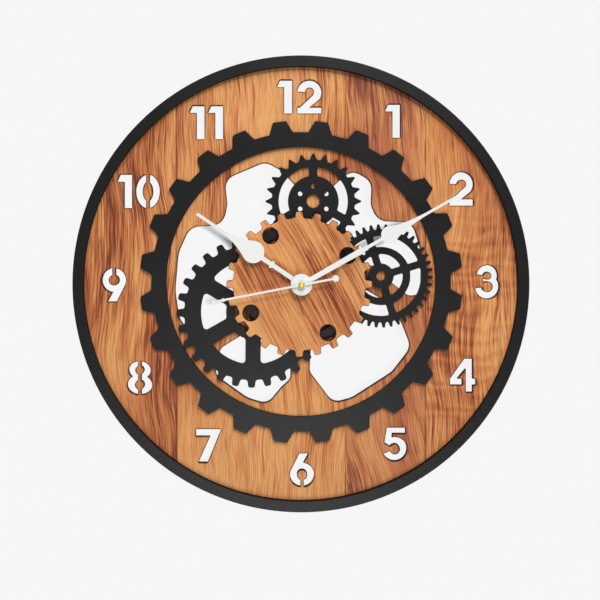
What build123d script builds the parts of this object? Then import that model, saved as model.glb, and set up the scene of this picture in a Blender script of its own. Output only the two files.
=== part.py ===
from build123d import *
from math import atan2, cos, degrees, hypot, pi, radians, sin, sqrt, tan
import os

# Wall clock with a plank-pattern board, applied black gears and a battery movement.
# Frame: +Z up, the wall is the plane Y = 0 and the clock stands out of it towards -Y.
# The origin is on the axis of the hands, where the back of the movement meets the wall.
# Every outline is drawn as seen from the front, X to the right and Z up, in millimetres.
# A depth is a distance from the wall.

# Board and rim
dial_radius = 149.0
board_thickness = 4.0
rim_width = 6.9
rim_height = 5.5
rim_segments = 4
rim_first_joint_angle = 43.6
rim_joint_gap = 0.12
hub_radius = 43.0

# Numerals cut through the board
numeral_rim_gap = 8.4
numeral_turn = 0.45
numeral_height = 22.0
numeral_stroke = 5.2
numeral_bridge = 2.2
digit_gaps = {10: 2.4, 11: 2.1, 12: 3.5}
half_height = numeral_height / 2
numeral_circle_radius = dial_radius - rim_width - numeral_rim_gap - half_height

# Windows in the board: corners of each outline and the radius that rounds each corner
left_window = [
    (2.8, 34.0, 2.0), (2.8, 57.5, 5.0), (-12.5, 74.0, 8.0), (-23.0, 80.0, 9.0), (-50.0, 68.5, 9.0),
    (-48.2, 52.0, 10.0), (-51.0, 38.2, 10.0), (-72.8, 37.2, 10.0), (-80.5, 20.0, 22.0), (-82.6, -5.0, 30.0),
    (-80.0, -22.5, 12.0), (-73.5, -32.5, 6.0), (-53.3, -34.5, 7.0), (-45.5, -19.5, 6.0), (-34.0, -3.0, 2.0),
]
lower_left_window = [
    (-24.0, -25.0, 2.0), (-52.6, -42.5, 6.0), (-56.3, -60.3, 5.5), (-35.0, -75.5, 20.0), (-21.8, -79.4, 8.0),
    (-12.6, -68.2, 14.0), (-6.7, -63.0, 6.0), (-6.7, -33.0, 2.0),
]
lower_right_window = [
    (7.2, -34.0, 2.0), (5.8, -58.0, 8.0), (15.6, -71.0, 9.0), (21.5, -78.7, 8.0), (34.0, -75.2, 16.0),
    (60.3, -58.3, 16.0), (72.8, -42.0, 9.0), (66.2, -25.5, 13.0), (54.4, -11.0, 18.0), (32.0, 2.0, 2.0),
]
right_window = [
    (13.7, 33.0, 2.0), (13.7, 56.6, 5.0), (28.1, 69.8, 6.0), (34.7, 74.0, 7.0), (47.0, 67.2, 9.0),
    (46.2, 51.4, 12.0), (51.1, 40.9, 10.0), (73.5, 40.2, 9.0), (79.4, 21.2, 30.0), (79.0, -7.8, 5.0),
    (70.8, -8.1, 5.0), (58.3, 1.8, 5.0), (54.4, 11.0, 5.0), (30.0, 13.3, 2.0),
]

# Applied gears: the ring gear frames three smaller gears in one black layer.
# Teeth and their roundings are in modules, a gear's root diameter over its number of teeth.
# The other sizes of the three smaller gears are shares of their root radius.
gear_layer_thickness = 3.0
ring_centre = (0.2, 1.2)
ring_inner_radius = 88.2
ring_band_width = 9.8
ring_root_radius = ring_inner_radius + ring_band_width
ring_tooth_height = 0.931
ring_teeth = 24
ring_first_tooth_angle = 7.7
ring_tooth_root_width = 1.910
ring_tooth_tip_width = 1.078
ring_tip_round = 0.147
ring_root_round = 0.184

left_gear_centre = (-0.3662 * ring_inner_radius, -0.2166 * ring_inner_radius)
left_gear_ring_gap = 0.9
left_gear_teeth = 28
left_gear_first_tooth_angle = 0.1
left_gear_tooth_height = 1.592
left_gear_tooth_root_width = 1.783
left_gear_tooth_tip_width = 1.337
left_gear_tip_round = 0.477
left_gear_root_round = 0.573
left_gear_rim_width = 0.2183
left_gear_hub_radius = 0.4070
left_gear_bore_radius = 0.2456
left_gear_spokes = 6
left_gear_first_spoke_angle = 29.4
left_gear_spoke_width = 0.2274
left_gear_window_round = 0.0500
left_gear_window_offset = (0.0296, 0.0091)

right_gear_centre = (0.5964 * ring_inner_radius, 0.0567 * ring_inner_radius)
right_gear_ring_gap = 1.8
right_gear_teeth = 42
right_gear_first_tooth_angle = 7.3
right_gear_tooth_height = 2.344
right_gear_tooth_root_width = 1.999
right_gear_tooth_tip_width = 0.896
right_gear_tip_round = 0.310
right_gear_root_round = 0.414
right_gear_rim_width = 0.1379
right_gear_window_width = 0.2364
right_gear_middle_ring_width = 0.1543
right_gear_hub_radius = 0.2692
right_gear_bore_radius = 0.1018
right_gear_spokes = 4
right_gear_first_spoke_angle = 17.0
right_gear_spoke_width = 0.1543
right_gear_window_round = 0.0328

top_gear_centre = (0.0930 * ring_inner_radius, 0.6111 * ring_inner_radius)
gear_to_gear_gap = 0.9
top_gear_teeth = 24
top_gear_first_tooth_angle = 90.0
top_gear_tooth_height = 1.759
top_gear_tooth_root_width = 2.155
top_gear_tooth_tip_width = 0.396
top_gear_tip_round = 0.154
top_gear_root_round = 0.440
top_gear_rim_width = 0.1686
top_gear_window_width = 0.2235
top_gear_bore_radius = 0.1576
top_gear_spokes = 3
top_gear_first_spoke_angle = 90.0
top_gear_spoke_width = 0.1979
top_gear_window_round = 0.0330
top_gear_small_holes = 6
top_gear_small_hole_radius = 0.0550
top_gear_small_hole_circle = 0.3628

# Centre gear in bare wood, on a black ring that spaces it off the gear layer. Its teeth are in modules.
spacer_centre = (0.6, 1.3)
spacer_inner_radius = 34.2
spacer_width = 5.0
spacer_thickness = 3.0
centre_gear_centre = (-1.2, 0.0)
centre_gear_thickness = 4.0
centre_gear_root_radius = 43.0
centre_gear_tooth_height = 1.172
centre_gear_teeth = 24
centre_gear_first_tooth_angle = 90.0
centre_gear_tooth_root_width = 1.580
centre_gear_tooth_tip_width = 1.190
centre_gear_tip_round = 0.300
centre_gear_root_round = 0.335
centre_gear_holes = 4
centre_gear_hole_radius = 5.3
centre_gear_hole_circle = 36.5
centre_gear_first_hole_angle = 30.6

# Movement case: the battery bay lies below the wheel chamber
chamber_above_axis = 26.5
chamber_below_axis = 9.9
case_wall = 1.5
case_front_wall = 1.4
case_corner_round = 3.0
cover_thickness = 1.5
cover_fit = 0.1
cover_post_radius = 2.0
hanger_width = 16.0
hanger_height = 11.0
hanger_thickness = 3.0
hanger_hole_radius = 3.0
hanger_hole_edge = 6.0
washer_radius = 9.0
washer_thickness = 0.8

# Battery and its contacts
battery_radius = 7.25
battery_length = 49.2
battery_edge_round = 0.6
battery_nub_radius = 2.75
battery_nub_length = 1.3
battery_fit = 0.3
battery_end_fit = 0.1
contact_thickness = 0.4
contact_width = 9.0
contact_boss_radius = 2.2
contact_boss_length = 0.75

# Shafts of the hands, and the bush that clamps the clock together
running_fit = 0.05
push_fit = 0.02
end_play = 0.2
second_arbor_radius = 0.5
minute_tube_radius = 1.6
hour_tube_radius = 2.55
bush_radius = 4.0
bush_flange_radius = 5.4
bush_flange_thickness = 0.8
bush_hole_fit = 0.1
brass_washer_radius = 5.8
brass_washer_thickness = 0.5
nut_across_flats = 10.0
nut_thickness = 2.5
bush_past_nut = 0.4

# Hands, set at about ten past ten
hand_thickness = 0.6
hand_gap = 1.2
hand_boss_height = 0.8
hand_boss_wall = 0.8
tube_past_hand = 0.2
hour_hand_angle = 145.9
minute_hand_angle = 29.6
second_hand_angle = 190.9
hand_hub_radius = 6.9
hour_hand_length = 81.4
hour_stem_width = 2.9
hour_collar_distance = 23.0
hour_collar_width = 5.0
hour_bulb_distance = 37.4
hour_bulb_radius = 7.2
hour_point_width = 2.0
hour_waist_width = 2.4
minute_hand_length = 114.4
minute_stem_width = 3.8
minute_neck_width = 2.1
minute_collar_distance = 44.6
minute_collar_width = 6.4
minute_bulb_distance = 65.0
minute_bulb_radius = 5.5
minute_point_width = 1.7
minute_waist_width = 3.0
bulb_leave_angle = 63.0
needle_start = 0.57
collar_length = 1.8
second_hand_length = 58.3
second_hand_width = 1.35
second_disc_distance = 51.0
second_disc_radius = 1.2
second_tip_radius = 1.1
second_tail_length = 22.2
second_tail_radius = 2.1
second_hub_radius = 2.6
pin_radius = 2.0
pin_height = 1.6
pin_round = 0.9
pin_hole_depth = 0.8

# Wheel train inside the movement
addendum = 0.8
dedendum = 1.1
tooth_share = 0.42
flank_angle = 22.0
wheel_thickness = 0.9
pinion_overlap = 0.25
layer_gap = 0.3
arbor_radius = 0.4
bearing_radius = 1.2
bearing_depth = 1.0
bearing_height = 2.0
rotor_pinion_teeth = 8
rotor_wheel_teeth = 40
rotor_module = 0.20
seconds_pinion_teeth = 10
seconds_wheel_teeth = 60
seconds_module = 0.25
third_pinion_teeth = 8
third_wheel_teeth = 60
third_module = 0.25
centre_pinion_teeth = 10
centre_wheel_teeth = 80
cannon_teeth = 14
minute_wheel_teeth = 42
minute_module = 0.30
hour_pinion_teeth = 12
hour_wheel_teeth = 48
knob_pinion_teeth = 14
intermediate_angle = 60.0
rotor_angle = 60.0
third_angle = 150.0
minute_wheel_angle = 0.0
minute_post_radius = 0.8
knob_post_radius = 1.0
knob_stem_wall = 0.7
knob_radius = 6.0
knob_thickness = 2.8
knob_recess = 0.6
knob_flutes = 20
knob_flute_radius = 0.6
knob_hole_gap = 0.5

# Stepping motor and circuit
magnet_radius = 1.6
magnet_length = 3.0
stator_thickness = 1.0
stator_gap = 0.5
stator_lobe_radius = 3.2
stator_bar_width = 2.6
coil_span = 26.0
coil_height_above_rotor = 9.2
bobbin_wall = 0.7
bobbin_flange_height = 7.2
bobbin_flange_thickness = 0.9
winding_build = 1.5
circuit_width = 17.0
circuit_height = 10.0
circuit_thickness = 0.8
circuit_post_radius = 1.2
crystal_radius = 1.0
crystal_length = 6.0

# Depths of the layers, from the wall outwards: the case is as deep as the battery needs
case_front = case_front_wall + 2 * (battery_radius + battery_fit)
board_back = case_front + washer_thickness
board_front = board_back + board_thickness
gear_layer_front = board_front + gear_layer_thickness
spacer_front = gear_layer_front + spacer_thickness
centre_gear_front = spacer_front + centre_gear_thickness
brass_washer_front = centre_gear_front + brass_washer_thickness
nut_front = brass_washer_front + nut_thickness
bush_front = nut_front + bush_past_nut
hour_hand_back = bush_front + hand_boss_height + hand_gap / 2
minute_hand_back = hour_hand_back + hand_thickness + hand_boss_height + hand_gap
second_hand_back = minute_hand_back + hand_thickness + hand_boss_height + hand_gap

# Depths of the wheels, from the front wall of the case inwards
case_inner_front = case_front - case_front_wall
bush_flange_back = case_inner_front - bush_flange_thickness
hour_wheel_front = bush_flange_back - layer_gap
hour_wheel_back = hour_wheel_front - wheel_thickness
minute_wheel_front = hour_wheel_back - layer_gap
minute_wheel_back = minute_wheel_front - wheel_thickness
centre_wheel_front = minute_wheel_back - pinion_overlap - layer_gap
centre_wheel_back = centre_wheel_front - wheel_thickness
cannon_back = centre_wheel_back - layer_gap
third_wheel_front = cannon_back - layer_gap - pinion_overlap
third_wheel_back = third_wheel_front - wheel_thickness
seconds_wheel_front = third_wheel_back - pinion_overlap - layer_gap
seconds_wheel_back = seconds_wheel_front - wheel_thickness
intermediate_wheel_front = seconds_wheel_back - pinion_overlap - layer_gap
intermediate_wheel_back = intermediate_wheel_front - wheel_thickness
rotor_pinion_back = intermediate_wheel_back - pinion_overlap
magnet_back = intermediate_wheel_front + pinion_overlap + layer_gap
magnet_front = magnet_back + magnet_length
stator_back = magnet_back + (magnet_length - stator_thickness) / 2
stator_front = stator_back + stator_thickness
core_front = stator_front + stator_thickness
bearing_front = case_inner_front - bearing_height
bearing_back = cover_thickness + bearing_height


def polar(radius, angle, centre=(0.0, 0.0)):
    """Point at a distance and an angle from a centre, in the plane of the dial."""
    return (centre[0] + radius * cos(radians(angle)), centre[1] + radius * sin(radians(angle)))


def distance(first, second):
    return hypot(first[0] - second[0], first[1] - second[1])


# Places of the wheels in the plane of the dial
centre_axis = (0.0, 0.0)
intermediate_spacing = seconds_module * (seconds_pinion_teeth + seconds_wheel_teeth) / 2
intermediate_axis = polar(intermediate_spacing, intermediate_angle)
rotor_spacing = rotor_module * (rotor_pinion_teeth + rotor_wheel_teeth) / 2
rotor_axis = polar(rotor_spacing, rotor_angle, intermediate_axis)
third_spacing = third_module * (third_pinion_teeth + third_wheel_teeth) / 2
third_axis = polar(third_spacing, third_angle)
centre_module = 2 * third_spacing / (centre_pinion_teeth + centre_wheel_teeth)
minute_spacing = minute_module * (cannon_teeth + minute_wheel_teeth) / 2
minute_axis = polar(minute_spacing, minute_wheel_angle)
hour_module = 2 * minute_spacing / (hour_pinion_teeth + hour_wheel_teeth)
knob_spacing = minute_module * (knob_pinion_teeth + minute_wheel_teeth) / 2
knob_axis = polar(knob_spacing, minute_wheel_angle, minute_axis)

# The applied gears fill the ring gear, clear of it and of each other
left_gear_tip_radius = ring_inner_radius - distance(left_gear_centre, ring_centre) - left_gear_ring_gap
right_gear_tip_radius = min(
    ring_inner_radius - distance(right_gear_centre, ring_centre) - right_gear_ring_gap,
    distance(right_gear_centre, left_gear_centre) - left_gear_tip_radius - gear_to_gear_gap,
)
top_gear_tip_radius = min(
    distance(top_gear_centre, left_gear_centre) - left_gear_tip_radius - gear_to_gear_gap,
    distance(top_gear_centre, right_gear_centre) - right_gear_tip_radius - gear_to_gear_gap,
    ring_inner_radius - distance(top_gear_centre, ring_centre) - gear_to_gear_gap,
)

# Rooms of the movement case, sized round the battery and its contacts
contact_reach = (battery_length + battery_nub_length) / 2 + battery_end_fit
bay_half_width = contact_reach + contact_boss_length + contact_thickness
chamber_top = chamber_above_axis
chamber_bottom = -chamber_below_axis
bay_top = chamber_bottom - case_wall
bay_bottom = bay_top - 2 * (battery_radius + battery_fit)
bay_centre = (bay_bottom + bay_top) / 2
case_half_width = bay_half_width + case_wall
case_top = chamber_top + case_wall
case_bottom = bay_bottom - case_wall
battery_depth = case_inner_front - battery_fit - battery_radius


def layer(outline, back, front, centre=(0.0, 0.0)):
    """Solid of a flat outline between two depths."""
    placed = Plane.XZ.offset(back) * Pos(centre[0], centre[1]) * outline
    return extrude(placed, front - back)


def ring(outer_radius, inner_radius):
    return Circle(outer_radius) - Circle(inner_radius)


def disc_at(point, radius):
    return Pos(point[0], point[1]) * Circle(radius)


def box_between(left, bottom, right, top):
    """Rectangle between two opposite corners."""
    return Pos((left + right) / 2, (bottom + top) / 2) * Rectangle(right - left, top - bottom)


def ring_sector(outer_radius, inner_radius, start, end, centre=(0.0, 0.0)):
    """Part of a ring between two angles, counted anticlockwise from three o'clock."""
    outer = CenterArc(centre, outer_radius, start, end - start)
    inner = CenterArc(centre, inner_radius, start, end - start)
    return make_face([outer, inner, Line(outer @ 0, inner @ 0), Line(outer @ 1, inner @ 1)])


def rounded_outline(corners):
    """Closed outline through a list of corners, each with its own rounding."""
    points = [(x, z) for x, z, rounding in corners]
    radii = [rounding for x, z, rounding in corners]
    return make_face(FilletPolyline(*points, radius=radii, close=True))


def around(count, first_angle, outline):
    """Copies of an outline, turned evenly about the origin."""
    return [Rot(0, 0, first_angle + 360 * index / count) * outline for index in range(count)]


def round_corners(outline, radius, nearest, farthest):
    """Rounds the corners of an outline that lie between two distances from its centre."""
    corners = [v for v in outline.vertices() if nearest < hypot(v.X, v.Y) < farthest]
    return fillet(corners, radius)


def root_of(tip_radius, teeth, height):
    """Root radius of a gear with teeth of a height in modules."""
    return tip_radius / (1 + 2 * height / teeth)


def toothed_disc(teeth, root_radius, height, root_width, tip_width, first_angle, tip_round, root_round):
    """Cut-out gear: tapered teeth on a disc, rounded at the tips and roots. Its sizes are in modules."""
    module = 2 * root_radius / teeth
    tip_radius = root_radius + height * module
    half_root = root_width * module / 2
    half_tip = tip_width * module / 2
    foot = sqrt(root_radius**2 - half_root**2)
    tooth = Polygon(
        (foot, -half_root), (tip_radius, -half_tip), (tip_radius, half_tip), (foot, half_root), align=None
    )
    blank = Circle(root_radius) + around(teeth, first_angle, tooth)
    middle = (root_radius + tip_radius) / 2
    blank = round_corners(blank, tip_round * module, middle, 2 * tip_radius)
    return round_corners(blank, root_round * module, 0, middle)


def spoke_windows(outer_radius, inner_radius, spokes, spoke_width, first_angle, rounding):
    """Openings between the spokes of a wheel, with rounded corners."""
    spoke = box_between(0, -spoke_width / 2, 2 * outer_radius, spoke_width / 2)
    openings = ring(outer_radius, inner_radius) - around(spokes, first_angle, spoke)
    return fillet(openings.vertices(), rounding)


# Numerals: every digit is drawn about its own middle, and closed counters keep a bridge of wood


def digit_zero():
    width = 0.72 * numeral_height
    counter_height = numeral_height - 1.8 * numeral_stroke
    oval = Ellipse(width / 2, half_height) - Ellipse(width / 2 - 0.88 * numeral_stroke, counter_height / 2)
    return oval - Rectangle(numeral_bridge, 2 * numeral_height)


def digit_one():
    flag_top = 0.52 * numeral_stroke
    flag_bottom = 0.94 * numeral_stroke
    flag_height = 0.9 * numeral_stroke
    left = flag_bottom / 2 - numeral_stroke / 2
    right = left + numeral_stroke
    return Polygon(
        (left, -half_height), (right, -half_height), (right, half_height), (left - flag_top, half_height),
        (left - flag_bottom, half_height - flag_height), (left, half_height - flag_height),
        align=None,
    )


def digit_two():
    bowl = 0.36 * numeral_height
    counter = bowl - 0.95 * numeral_stroke
    middle = (0.0, half_height - bowl)
    end_angle = -40.0
    outer_end = polar(bowl, end_angle, middle)
    inner_end = polar(counter, end_angle, middle)
    base = 0.8 * numeral_stroke - half_height
    diagonal = Polygon(
        inner_end, (-bowl, base - 0.3 * numeral_stroke), (-bowl, -half_height), (0.0, base), outer_end,
        align=None,
    )
    foot = box_between(-bowl, -half_height, bowl, base)
    return ring_sector(bowl, counter, end_angle, 178.0, middle) + diagonal + foot


def digit_three():
    upper = 0.315 * numeral_height
    lower = 0.36 * numeral_height
    width = 0.83 * numeral_stroke
    upper_middle = (0.0, half_height - upper)
    lower_middle = (0.0, lower - half_height)
    upper_bowl = ring_sector(upper, upper - width, -95.0, 172.0, upper_middle)
    lower_bowl = ring_sector(lower, lower - width, -172.0, 95.0, lower_middle)
    waist = lower - upper
    bar = box_between(-0.5 * numeral_stroke, waist - 0.3 * numeral_stroke, 0.0, waist + 0.3 * numeral_stroke)
    counters = disc_at(upper_middle, upper - width) + disc_at(lower_middle, lower - width)
    return upper_bowl + lower_bowl + bar - counters


def digit_four():
    left = -0.39 * numeral_height
    right = -left
    stem_left = 0.08 * numeral_height
    stem_right = stem_left + 0.88 * numeral_stroke
    bar_bottom = 0.9 * numeral_stroke - half_height
    bar_top = bar_bottom + 0.8 * numeral_stroke
    outside = Polygon(
        (left, bar_bottom), (stem_left, bar_bottom), (stem_left, -half_height), (stem_right, -half_height),
        (stem_right, bar_bottom), (right, bar_bottom), (right, bar_top), (stem_right, bar_top),
        (stem_right, half_height), (stem_left - 0.2 * numeral_stroke, half_height), (left, bar_top),
        align=None,
    )
    counter = Polygon(
        (stem_left, bar_top), (stem_left, bar_top + 1.25 * numeral_stroke),
        (left + 0.95 * numeral_stroke, bar_top),
        align=None,
    )
    return outside - counter - box_between(stem_left - numeral_bridge, bar_bottom, stem_left, bar_top)


def digit_five():
    bowl = 0.36 * numeral_height
    middle = (0.0, bowl - half_height)
    left = -0.24 * numeral_height
    top_bar = box_between(left, half_height - 0.76 * numeral_stroke, 0.32 * numeral_height, half_height)
    stem = Polygon(
        (left, half_height), (left + 0.8 * numeral_stroke, half_height),
        (left + 0.62 * numeral_stroke, middle[1] + 0.85 * bowl), polar(bowl, 150.0, middle),
        align=None,
    )
    return top_bar + stem + ring_sector(bowl, bowl - 0.86 * numeral_stroke, -158.0, 150.0, middle)


def digit_six():
    bowl = 0.36 * numeral_height
    counter = bowl - 0.86 * numeral_stroke
    middle = (0.0, bowl - half_height)
    tail = Polygon(
        (-0.35 * numeral_stroke, half_height), (0.83 * numeral_stroke, half_height),
        polar(bowl, 84.0, middle), polar(bowl - 0.4 * numeral_stroke, 120.0, middle),
        polar(bowl, 161.0, middle),
        align=None,
    )
    bridge = box_between(-numeral_bridge / 2, -numeral_height, numeral_bridge / 2, middle[1])
    return ring(bowl, counter).moved(Pos(*middle)) + tail - bridge


def digit_seven():
    left = -0.38 * numeral_height
    foot_right = -0.03 * numeral_height
    foot_left = foot_right - 1.15 * numeral_stroke
    bar_bottom = half_height - 0.92 * numeral_stroke
    knee = -left - 1.4 * numeral_stroke
    return Polygon(
        (left, half_height), (left, bar_bottom), (knee, bar_bottom), (foot_left, -half_height),
        (foot_right, -half_height), (-left, half_height),
        align=None,
    )


def digit_eight():
    upper = 0.267 * numeral_height
    lower = 0.295 * numeral_height
    upper_bowl = Ellipse(0.328 * numeral_height, upper) - Circle(0.133 * numeral_height)
    lower_bowl = Ellipse(0.371 * numeral_height, lower) - Circle(0.143 * numeral_height)
    bowls = Pos(0, half_height - upper) * upper_bowl + Pos(0, lower - half_height) * lower_bowl
    return bowls - Rectangle(numeral_bridge, 2 * numeral_height)


def digit_nine():
    return Rot(0, 0, 180) * digit_six()


def numeral(digits, gap):
    """One hour number: its digits side by side, centred on the origin."""
    widths = [shape.bounding_box().size.X for shape in digits]
    cursor = -(sum(widths) + gap * (len(digits) - 1)) / 2
    placed = []
    for shape, width in zip(digits, widths):
        placed.append(Pos(cursor - shape.bounding_box().min.X, 0) * shape)
        cursor += width + gap
    return placed


def all_numerals():
    """The twelve upright hour numbers on their circle."""
    one = digit_one()
    two = digit_two()
    hours = {
        1: [one], 2: [two], 3: [digit_three()], 4: [digit_four()], 5: [digit_five()], 6: [digit_six()],
        7: [digit_seven()], 8: [digit_eight()], 9: [digit_nine()], 10: [one, digit_zero()],
        11: [one, one], 12: [one, two],
    }
    shapes = []
    for hour, digits in hours.items():
        x, z = polar(numeral_circle_radius, 90 + numeral_turn - 30 * hour)
        shapes += [Pos(x, z) * shape for shape in numeral(digits, digit_gaps.get(hour, 0.0))]
    return shapes


def dial_board():
    """Round board with the numerals and four windows cut through, and a hub that carries the movement."""
    outlines = (left_window, lower_left_window, lower_right_window, right_window)
    windows = [rounded_outline(outline) for outline in outlines]
    board = Circle(dial_radius) - windows + Circle(hub_radius)
    board = board - Circle(bush_radius + bush_hole_fit) - all_numerals()
    return layer(board, board_back, board_front)


def rim_segment(index):
    """Quarter of the raised rim, glued on the edge of the board."""
    sweep = 360 / rim_segments
    trim = degrees(rim_joint_gap / 2 / dial_radius)
    start = rim_first_joint_angle + sweep * index
    outline = ring_sector(dial_radius, dial_radius - rim_width, start + trim, start + sweep - trim)
    return layer(outline, board_front, board_front + rim_height)


def ring_gear():
    blank = toothed_disc(
        ring_teeth, ring_root_radius, ring_tooth_height, ring_tooth_root_width, ring_tooth_tip_width,
        ring_first_tooth_angle, ring_tip_round, ring_root_round,
    )
    return layer(blank - Circle(ring_inner_radius), board_front, gear_layer_front, ring_centre)


def left_gear():
    root_radius = root_of(left_gear_tip_radius, left_gear_teeth, left_gear_tooth_height)
    blank = toothed_disc(
        left_gear_teeth, root_radius, left_gear_tooth_height, left_gear_tooth_root_width,
        left_gear_tooth_tip_width, left_gear_first_tooth_angle, left_gear_tip_round, left_gear_root_round,
    )
    windows = spoke_windows(
        root_radius * (1 - left_gear_rim_width), root_radius * left_gear_hub_radius,
        left_gear_spokes, root_radius * left_gear_spoke_width, left_gear_first_spoke_angle,
        root_radius * left_gear_window_round,
    )
    aside, up = left_gear_window_offset
    windows = Pos(root_radius * aside, root_radius * up) * windows
    bush_hole = disc_at((-left_gear_centre[0], -left_gear_centre[1]), bush_radius + bush_hole_fit)
    outline = blank - Circle(root_radius * left_gear_bore_radius) - windows - bush_hole
    return layer(outline, board_front, gear_layer_front, left_gear_centre)


def right_gear():
    root_radius = root_of(right_gear_tip_radius, right_gear_teeth, right_gear_tooth_height)
    blank = toothed_disc(
        right_gear_teeth, root_radius, right_gear_tooth_height, right_gear_tooth_root_width,
        right_gear_tooth_tip_width, right_gear_first_tooth_angle, right_gear_tip_round, right_gear_root_round,
    )
    outer_radius = root_radius * (1 - right_gear_rim_width)
    middle_radius = outer_radius - root_radius * right_gear_window_width
    inner_radius = middle_radius - root_radius * right_gear_middle_ring_width
    spoke = (
        right_gear_spokes, root_radius * right_gear_spoke_width, right_gear_first_spoke_angle,
        root_radius * right_gear_window_round,
    )
    outer_windows = spoke_windows(outer_radius, middle_radius, *spoke)
    inner_windows = spoke_windows(inner_radius, root_radius * right_gear_hub_radius, *spoke)
    outline = blank - Circle(root_radius * right_gear_bore_radius) - outer_windows - inner_windows
    return layer(outline, board_front, gear_layer_front, right_gear_centre)


def top_gear():
    root_radius = root_of(top_gear_tip_radius, top_gear_teeth, top_gear_tooth_height)
    blank = toothed_disc(
        top_gear_teeth, root_radius, top_gear_tooth_height, top_gear_tooth_root_width,
        top_gear_tooth_tip_width, top_gear_first_tooth_angle, top_gear_tip_round, top_gear_root_round,
    )
    outer_radius = root_radius * (1 - top_gear_rim_width)
    windows = spoke_windows(
        outer_radius, outer_radius - root_radius * top_gear_window_width, top_gear_spokes,
        root_radius * top_gear_spoke_width, top_gear_first_spoke_angle, root_radius * top_gear_window_round,
    )
    small_hole_radius = root_radius * top_gear_small_hole_radius
    small_hole = disc_at((root_radius * top_gear_small_hole_circle, 0), small_hole_radius)
    holes = around(top_gear_small_holes, top_gear_first_spoke_angle, small_hole)
    outline = blank - Circle(root_radius * top_gear_bore_radius) - windows - holes
    return layer(outline, board_front, gear_layer_front, top_gear_centre)


def centre_spacer_ring():
    band = ring(spacer_inner_radius + spacer_width, spacer_inner_radius)
    return layer(band, gear_layer_front, spacer_front, spacer_centre)


def centre_gear():
    blank = toothed_disc(
        centre_gear_teeth, centre_gear_root_radius, centre_gear_tooth_height,
        centre_gear_tooth_root_width, centre_gear_tooth_tip_width, centre_gear_first_tooth_angle,
        centre_gear_tip_round, centre_gear_root_round,
    )
    hole = disc_at((centre_gear_hole_circle, 0), centre_gear_hole_radius)
    holes = around(centre_gear_holes, centre_gear_first_hole_angle, hole)
    bush_hole = disc_at((-centre_gear_centre[0], -centre_gear_centre[1]), bush_radius + bush_hole_fit)
    return layer(blank - holes - bush_hole, spacer_front, centre_gear_front, centre_gear_centre)


# Hands: drawn pointing to three o'clock and then turned to their angle


def spade(length, bulb_distance, bulb_radius, waist_width, point_width):
    """Drop-shaped blade: a round bulb whose sides sweep in to a needle with a rounded point."""
    leave = polar(bulb_radius, bulb_leave_angle, (bulb_distance, 0.0))
    run = (leave[1] - waist_width / 2) * tan(radians(bulb_leave_angle))
    waist = (leave[0] + run, waist_width / 2)
    end = length - point_width / 2
    needle = (bulb_distance + needle_start * (end - bulb_distance), point_width / 2)
    upper = [Bezier(leave, waist, needle), Line(needle, (end, point_width / 2))]
    lower = [mirror(edge, Plane.XZ) for edge in upper]
    across = [Line(upper[0] @ 0, lower[0] @ 0), Line(upper[1] @ 1, lower[1] @ 1)]
    blade = make_face([*upper, *lower, *across])
    return blade + disc_at((bulb_distance, 0), bulb_radius) + disc_at((end, 0), point_width / 2)


def collar(place, width):
    """Small turned-looking bead across the stem of a hand."""
    bead = box_between(place - collar_length / 2, -width / 2, place + collar_length / 2, width / 2)
    return fillet(bead.vertices(), collar_length / 3)


def hour_hand():
    stem = box_between(0, -hour_stem_width / 2, hour_bulb_distance, hour_stem_width / 2)
    blade = spade(hour_hand_length, hour_bulb_distance, hour_bulb_radius, hour_waist_width, hour_point_width)
    outline = Circle(hand_hub_radius) + stem + collar(hour_collar_distance, hour_collar_width) + blade
    hole = Circle(hour_tube_radius + push_fit)
    sheet = Rot(0, 0, hour_hand_angle) * (outline - hole)
    sheet = layer(sheet, hour_hand_back, hour_hand_back + hand_thickness)
    boss = ring(hour_tube_radius + hand_boss_wall, hour_tube_radius + push_fit)
    return sheet + layer(boss, hour_hand_back - hand_boss_height, hour_hand_back)


def minute_hand():
    half_root = 0.8 * minute_stem_width / 2
    stem = Polygon(
        (0, -half_root), (minute_collar_distance, -minute_stem_width / 2),
        (minute_collar_distance, minute_stem_width / 2), (0, half_root),
        align=None,
    )
    half_neck = minute_neck_width / 2
    neck = box_between(minute_collar_distance, -half_neck, minute_bulb_distance, half_neck)
    blade = spade(
        minute_hand_length, minute_bulb_distance, minute_bulb_radius, minute_waist_width, minute_point_width
    )
    bead = collar(minute_collar_distance, minute_collar_width)
    outline = Circle(hand_hub_radius) + stem + neck + bead + blade
    hole = Circle(minute_tube_radius + push_fit)
    sheet = Rot(0, 0, minute_hand_angle) * (outline - hole)
    sheet = layer(sheet, minute_hand_back, minute_hand_back + hand_thickness)
    boss = ring(minute_tube_radius + hand_boss_wall, minute_tube_radius + push_fit)
    return sheet + layer(boss, minute_hand_back - hand_boss_height, minute_hand_back)


def second_hand():
    half_width = second_hand_width / 2
    tip_distance = second_hand_length - second_tip_radius
    blade = box_between(-second_tail_length, -half_width, tip_distance, half_width)
    bead = disc_at((second_disc_distance, 0), second_disc_radius)
    tip = disc_at((tip_distance, 0), second_tip_radius)
    tail = disc_at((-second_tail_length, 0), second_tail_radius)
    outline = blade + bead + tip + tail + Circle(second_hub_radius)
    hole = Circle(second_arbor_radius + push_fit)
    sheet = Rot(0, 0, second_hand_angle) * (outline - hole)
    sheet = layer(sheet, second_hand_back, second_hand_back + hand_thickness)
    boss = ring(second_arbor_radius + hand_boss_wall, second_arbor_radius + push_fit)
    return sheet + layer(boss, second_hand_back - hand_boss_height, second_hand_back)


def second_hand_pin():
    """Domed cap on the end of the seconds arbor."""
    back = second_hand_back + hand_thickness
    cap = layer(Circle(pin_radius), back, back + pin_height)
    cap = fillet(cap.faces().sort_by(Axis.Y)[0].edges(), pin_round)
    return cap - layer(Circle(second_arbor_radius + push_fit), back, back + pin_hole_depth)


# Movement case


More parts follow.
